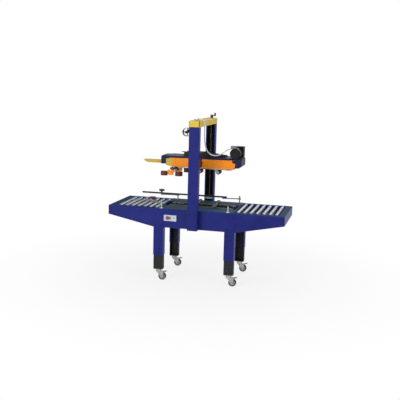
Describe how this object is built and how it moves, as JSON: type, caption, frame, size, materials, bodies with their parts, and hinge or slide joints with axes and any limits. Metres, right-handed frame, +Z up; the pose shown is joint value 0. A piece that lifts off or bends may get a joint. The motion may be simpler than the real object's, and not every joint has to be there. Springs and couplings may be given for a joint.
{
  "type": "carton sealing machine",
  "caption": "Semi-automatic carton sealer on castors: top and bottom belts pull a box between two tape heads, with a hand-cranked height-adjustable head.",
  "frame": {"origin": "on the floor, at the centre of the bounding box's base", "axes": "+X along the way cartons travel, -Y the operator's side with the controls, +Z up"},
  "size_m": [1.72, 0.746, 1.609],
  "materials": {
    "bed_blue": "gloss",
    "deck_blue": "gloss",
    "beam_yellow": "gloss",
    "head_orange": "gloss",
    "cover_navy": "satin",
    "leg_black": "satin",
    "frame_black": "satin",
    "motor_black": "satin",
    "tape_head_black": "satin",
    "steel": "satin",
    "arm_steel": "satin",
    "roller_zinc": "satin",
    "castor_zinc": "satin",
    "belt_rubber": "matt",
    "tyre_black": "matt",
    "control_plate": "satin",
    "crank_black": "satin",
    "reel_plastic": "satin",
    "cable_grey": "satin",
    "rail_black": "satin",
    "button_red": "gloss",
    "switch_green": "gloss"
  },
  "bodies": {
    "bed": {"side_panels": "bed_blue", "cross_frame": "bed_blue", "deck_plates_and_posts": "deck_blue", "outer_legs": "bed_blue", "columns": "bed_blue", "top_beam": "beam_yellow", "lower_drive_frame": "frame_black", "lower_gear_motor": "motor_black", "lower_belts_and_chain": "belt_rubber", "lower_tape_head": "tape_head_black", "control_box": "control_plate"},
    "inner_legs": {"inner_legs": "leg_black"},
    "head": {"head_frame": "frame_black", "head_side_covers": "head_orange", "head_top_cover": "cover_navy", "upper_belts": "belt_rubber", "upper_motor": "motor_black", "upper_drive_housing": "cover_navy", "upper_tape_head": "tape_head_black", "motor_cable": "cable_grey"},
    "lift_crank": {"lift_crank": "crank_black", "lead_screw_far": "steel"},
    "lead_screw_near": {"lead_screw_near": "steel"},
    "lower_drive_pulleys": {"lower_drive_pulleys": "steel"},
    "upper_drive_pulleys": {"upper_drive_pulleys": "steel"},
    "lower_front_tape_arm": {"lower_front_tape_arm": "arm_steel"},
    "lower_rear_tape_arm": {"lower_rear_tape_arm": "arm_steel"},
    "upper_front_tape_arm": {"upper_front_tape_arm": "arm_steel"},
    "upper_rear_tape_arm": {"upper_rear_tape_arm": "arm_steel"},
    "tape_reel": {"tape_reel": "reel_plastic"},
    "far_guide_arm_infeed": {"far_guide_arm_infeed": "arm_steel"},
    "far_guide_arm_outfeed": {"far_guide_arm_outfeed": "arm_steel"},
    "far_guide_rail": {"far_guide_rail": "rail_black"},
    "near_guide_arm": {"near_guide_arm": "arm_steel"},
    "stop_button": {"stop_button": "button_red"},
    "power_switch": {"power_switch": "switch_green"},
    "near_side_presser": {"near_side_presser": "head_orange"},
    "far_side_presser": {"far_side_presser": "head_orange"},
    "castor_fork_near_infeed": {"castor_fork_near_infeed": "castor_zinc"},
    "castor_wheel_near_infeed": {"castor_wheel_near_infeed": "tyre_black"},
    "castor_fork_near_outfeed": {"castor_fork_near_outfeed": "castor_zinc"},
    "castor_wheel_near_outfeed": {"castor_wheel_near_outfeed": "tyre_black"},
    "castor_fork_far_infeed": {"castor_fork_far_infeed": "castor_zinc"},
    "castor_wheel_far_infeed": {"castor_wheel_far_infeed": "tyre_black"},
    "castor_fork_far_outfeed": {"castor_fork_far_outfeed": "castor_zinc"},
    "castor_wheel_far_outfeed": {"castor_wheel_far_outfeed": "tyre_black"},
    "infeed_roller_1": {"infeed_roller_1": "roller_zinc"},
    "outfeed_roller_1": {"outfeed_roller_1": "roller_zinc"},
    "infeed_roller_2": {"infeed_roller_2": "roller_zinc"},
    "outfeed_roller_2": {"outfeed_roller_2": "roller_zinc"},
    "infeed_roller_3": {"infeed_roller_3": "roller_zinc"},
    "outfeed_roller_3": {"outfeed_roller_3": "roller_zinc"},
    "infeed_roller_4": {"infeed_roller_4": "roller_zinc"},
    "outfeed_roller_4": {"outfeed_roller_4": "roller_zinc"},
    "infeed_roller_5": {"infeed_roller_5": "roller_zinc"},
    "outfeed_roller_5": {"outfeed_roller_5": "roller_zinc"},
    "infeed_roller_6": {"infeed_roller_6": "roller_zinc"},
    "outfeed_roller_6": {"outfeed_roller_6": "roller_zinc"},
    "infeed_roller_7": {"infeed_roller_7": "roller_zinc"},
    "outfeed_roller_7": {"outfeed_roller_7": "roller_zinc"}
  },
  "joints": [
    {"name": "table_height", "type": "slide", "parent": "bed", "child": "inner_legs", "axis": [0, 0, 1], "range_m": [-0.04, 0.11]},
    {"name": "head_lift", "type": "slide", "parent": "bed", "child": "head", "axis": [0, 0, 1], "range_m": [-0.2, 0.13], "deforming": ["motor_cable"]},
    {"name": "lift_crank_turn", "type": "hinge", "parent": "bed", "child": "lift_crank", "pos_m": [0, 0.339, 1.57], "axis": [0, 0, 1], "range_deg": [-14410, 9370]},
    {"name": "near_screw_turn", "type": "hinge", "parent": "bed", "child": "lead_screw_near", "pos_m": [0, -0.339, 1.57], "axis": [0, 0, 1], "range_deg": [-14410, 9370]},
    {"name": "far_guide_arm_infeed_swing", "type": "hinge", "parent": "bed", "child": "far_guide_arm_infeed", "pos_m": [-0.325, 0.288, 0.7515], "axis": [0, 0, 1], "range_deg": [-4, 50]},
    {"name": "far_guide_rail_swing", "type": "hinge", "parent": "far_guide_arm_infeed", "child": "far_guide_rail", "pos_m": [-0.4907, 0.25, 0.766], "axis": [0, 0, 1], "range_deg": [-50, 4]},
    {"name": "far_guide_arm_outfeed_swing", "type": "hinge", "parent": "bed", "child": "far_guide_arm_outfeed", "pos_m": [0.325, 0.288, 0.7515], "axis": [0, 0, 1], "range_deg": [-4, 50]},
    {"name": "near_guide_arm_swing", "type": "hinge", "parent": "bed", "child": "near_guide_arm", "pos_m": [-0.325, -0.288, 0.752], "axis": [0, 0, 1], "range_deg": [-45, 40]},
    {"name": "near_side_presser_slide", "type": "slide", "parent": "head", "child": "near_side_presser", "axis": [0, -1, 0], "range_m": [0, 0.09]},
    {"name": "far_side_presser_slide", "type": "slide", "parent": "head", "child": "far_side_presser", "axis": [0, 1, 0], "range_m": [0, 0.09]},
    {"name": "stop_button_press", "type": "slide", "parent": "bed", "child": "stop_button", "axis": [0, 1, 0], "range_m": [0, 0.004], "stiffness_N_per_m": 600, "springref_m": -0.004},
    {"name": "power_switch_rock", "type": "hinge", "parent": "bed", "child": "power_switch", "pos_m": [-0.233, -0.301, 0.622], "axis": [1, 0, 0], "range_deg": [-12, 12]},
    {"name": "lower_front_tape_arm_swing", "type": "hinge", "parent": "bed", "child": "lower_front_tape_arm", "pos_m": [-0.09, 0, 0.678], "axis": [0, 1, 0], "range_deg": [0, 36], "stiffness_Nm_per_rad": 10, "springref_deg": -28.65},
    {"name": "lower_rear_tape_arm_swing", "type": "hinge", "parent": "bed", "child": "lower_rear_tape_arm", "pos_m": [0.095, 0, 0.678], "axis": [0, 1, 0], "range_deg": [0, 36]},
    {"name": "upper_front_tape_arm_swing", "type": "hinge", "parent": "head", "child": "upper_front_tape_arm", "pos_m": [-0.09, 0, 1.121], "axis": [0, -1, 0], "range_deg": [0, 36], "stiffness_Nm_per_rad": 10, "springref_deg": -28.65},
    {"name": "upper_rear_tape_arm_swing", "type": "hinge", "parent": "head", "child": "upper_rear_tape_arm", "pos_m": [0.095, 0, 1.121], "axis": [0, -1, 0], "range_deg": [0, 36]},
    {"name": "tape_reel_spin", "type": "hinge", "parent": "bed", "child": "tape_reel", "pos_m": [-0.166, 0, 1.426], "axis": [0, 1, 0], "continuous": true},
    {"name": "lower_drive_spin", "type": "hinge", "parent": "bed", "child": "lower_drive_pulleys", "pos_m": [0.3, 0, 0.681], "axis": [0, 1, 0], "continuous": true},
    {"name": "upper_drive_spin", "type": "hinge", "parent": "head", "child": "upper_drive_pulleys", "pos_m": [0.3, 0, 1.118], "axis": [0, 1, 0], "continuous": true},
    {"name": "castor_swivel_near_infeed", "type": "hinge", "parent": "inner_legs", "child": "castor_fork_near_infeed", "pos_m": [-0.348, -0.276, 0.105], "axis": [0, 0, 1], "continuous": true},
    {"name": "castor_wheel_spin_near_infeed", "type": "hinge", "parent": "castor_fork_near_infeed", "child": "castor_wheel_near_infeed", "pos_m": [-0.31, -0.276, 0.0375], "axis": [0, 1, 0], "continuous": true},
    {"name": "castor_swivel_near_outfeed", "type": "hinge", "parent": "inner_legs", "child": "castor_fork_near_outfeed", "pos_m": [0.348, -0.276, 0.105], "axis": [0, 0, 1], "continuous": true},
    {"name": "castor_wheel_spin_near_outfeed", "type": "hinge", "parent": "castor_fork_near_outfeed", "child": "castor_wheel_near_outfeed", "pos_m": [0.386, -0.276, 0.0375], "axis": [0, 1, 0], "continuous": true},
    {"name": "castor_swivel_far_infeed", "type": "hinge", "parent": "inner_legs", "child": "castor_fork_far_infeed", "pos_m": [-0.348, 0.276, 0.105], "axis": [0, 0, 1], "continuous": true},
    {"name": "castor_wheel_spin_far_infeed", "type": "hinge", "parent": "castor_fork_far_infeed", "child": "castor_wheel_far_infeed", "pos_m": [-0.31, 0.276, 0.0375], "axis": [0, 1, 0], "continuous": true},
    {"name": "castor_swivel_far_outfeed", "type": "hinge", "parent": "inner_legs", "child": "castor_fork_far_outfeed", "pos_m": [0.348, 0.276, 0.105], "axis": [0, 0, 1], "continuous": true},
    {"name": "castor_wheel_spin_far_outfeed", "type": "hinge", "parent": "castor_fork_far_outfeed", "child": "castor_wheel_far_outfeed", "pos_m": [0.386, 0.276, 0.0375], "axis": [0, 1, 0], "continuous": true},
    {"name": "infeed_roller_spin_1", "type": "hinge", "parent": "bed", "child": "infeed_roller_1", "pos_m": [-0.77, 0, 0.694], "axis": [0, 1, 0], "continuous": true},
    {"name": "outfeed_roller_spin_1", "type": "hinge", "parent": "bed", "child": "outfeed_roller_1", "pos_m": [0.404, 0, 0.694], "axis": [0, 1, 0], "continuous": true},
    {"name": "infeed_roller_spin_2", "type": "hinge", "parent": "bed", "child": "infeed_roller_2", "pos_m": [-0.709, 0, 0.694], "axis": [0, 1, 0], "continuous": true},
    {"name": "outfeed_roller_spin_2", "type": "hinge", "parent": "bed", "child": "outfeed_roller_2", "pos_m": [0.465, 0, 0.694], "axis": [0, 1, 0], "continuous": true},
    {"name": "infeed_roller_spin_3", "type": "hinge", "parent": "bed", "child": "infeed_roller_3", "pos_m": [-0.648, 0, 0.694], "axis": [0, 1, 0], "continuous": true},
    {"name": "outfeed_roller_spin_3", "type": "hinge", "parent": "bed", "child": "outfeed_roller_3", "pos_m": [0.526, 0, 0.694], "axis": [0, 1, 0], "continuous": true},
    {"name": "infeed_roller_spin_4", "type": "hinge", "parent": "bed", "child": "infeed_roller_4", "pos_m": [-0.587, 0, 0.694], "axis": [0, 1, 0], "continuous": true},
    {"name": "outfeed_roller_spin_4", "type": "hinge", "parent": "bed", "child": "outfeed_roller_4", "pos_m": [0.587, 0, 0.694], "axis": [0, 1, 0], "continuous": true},
    {"name": "infeed_roller_spin_5", "type": "hinge", "parent": "bed", "child": "infeed_roller_5", "pos_m": [-0.526, 0, 0.694], "axis": [0, 1, 0], "continuous": true},
    {"name": "outfeed_roller_spin_5", "type": "hinge", "parent": "bed", "child": "outfeed_roller_5", "pos_m": [0.648, 0, 0.694], "axis": [0, 1, 0], "continuous": true},
    {"name": "infeed_roller_spin_6", "type": "hinge", "parent": "bed", "child": "infeed_roller_6", "pos_m": [-0.465, 0, 0.694], "axis": [0, 1, 0], "continuous": true},
    {"name": "outfeed_roller_spin_6", "type": "hinge", "parent": "bed", "child": "outfeed_roller_6", "pos_m": [0.709, 0, 0.694], "axis": [0, 1, 0], "continuous": true},
    {"name": "infeed_roller_spin_7", "type": "hinge", "parent": "bed", "child": "infeed_roller_7", "pos_m": [-0.404, 0, 0.694], "axis": [0, 1, 0], "continuous": true},
    {"name": "outfeed_roller_spin_7", "type": "hinge", "parent": "bed", "child": "outfeed_roller_7", "pos_m": [0.77, 0, 0.694], "axis": [0, 1, 0], "continuous": true}
  ],
  "couplings": [
    {"joint": "lift_crank_turn", "follows": "head_lift", "rad_per_m": 1256.6},
    {"joint": "near_screw_turn", "follows": "head_lift", "rad_per_m": 1256.6},
    {"joint": "lower_rear_tape_arm_swing", "follows": "lower_front_tape_arm_swing", "ratio": 1},
    {"joint": "upper_rear_tape_arm_swing", "follows": "upper_front_tape_arm_swing", "ratio": 1},
    {"joint": "far_guide_rail_swing", "follows": "far_guide_arm_infeed_swing", "ratio": -1},
    {"joint": "far_guide_arm_outfeed_swing", "follows": "far_guide_arm_infeed_swing", "ratio": 1}
  ]
}
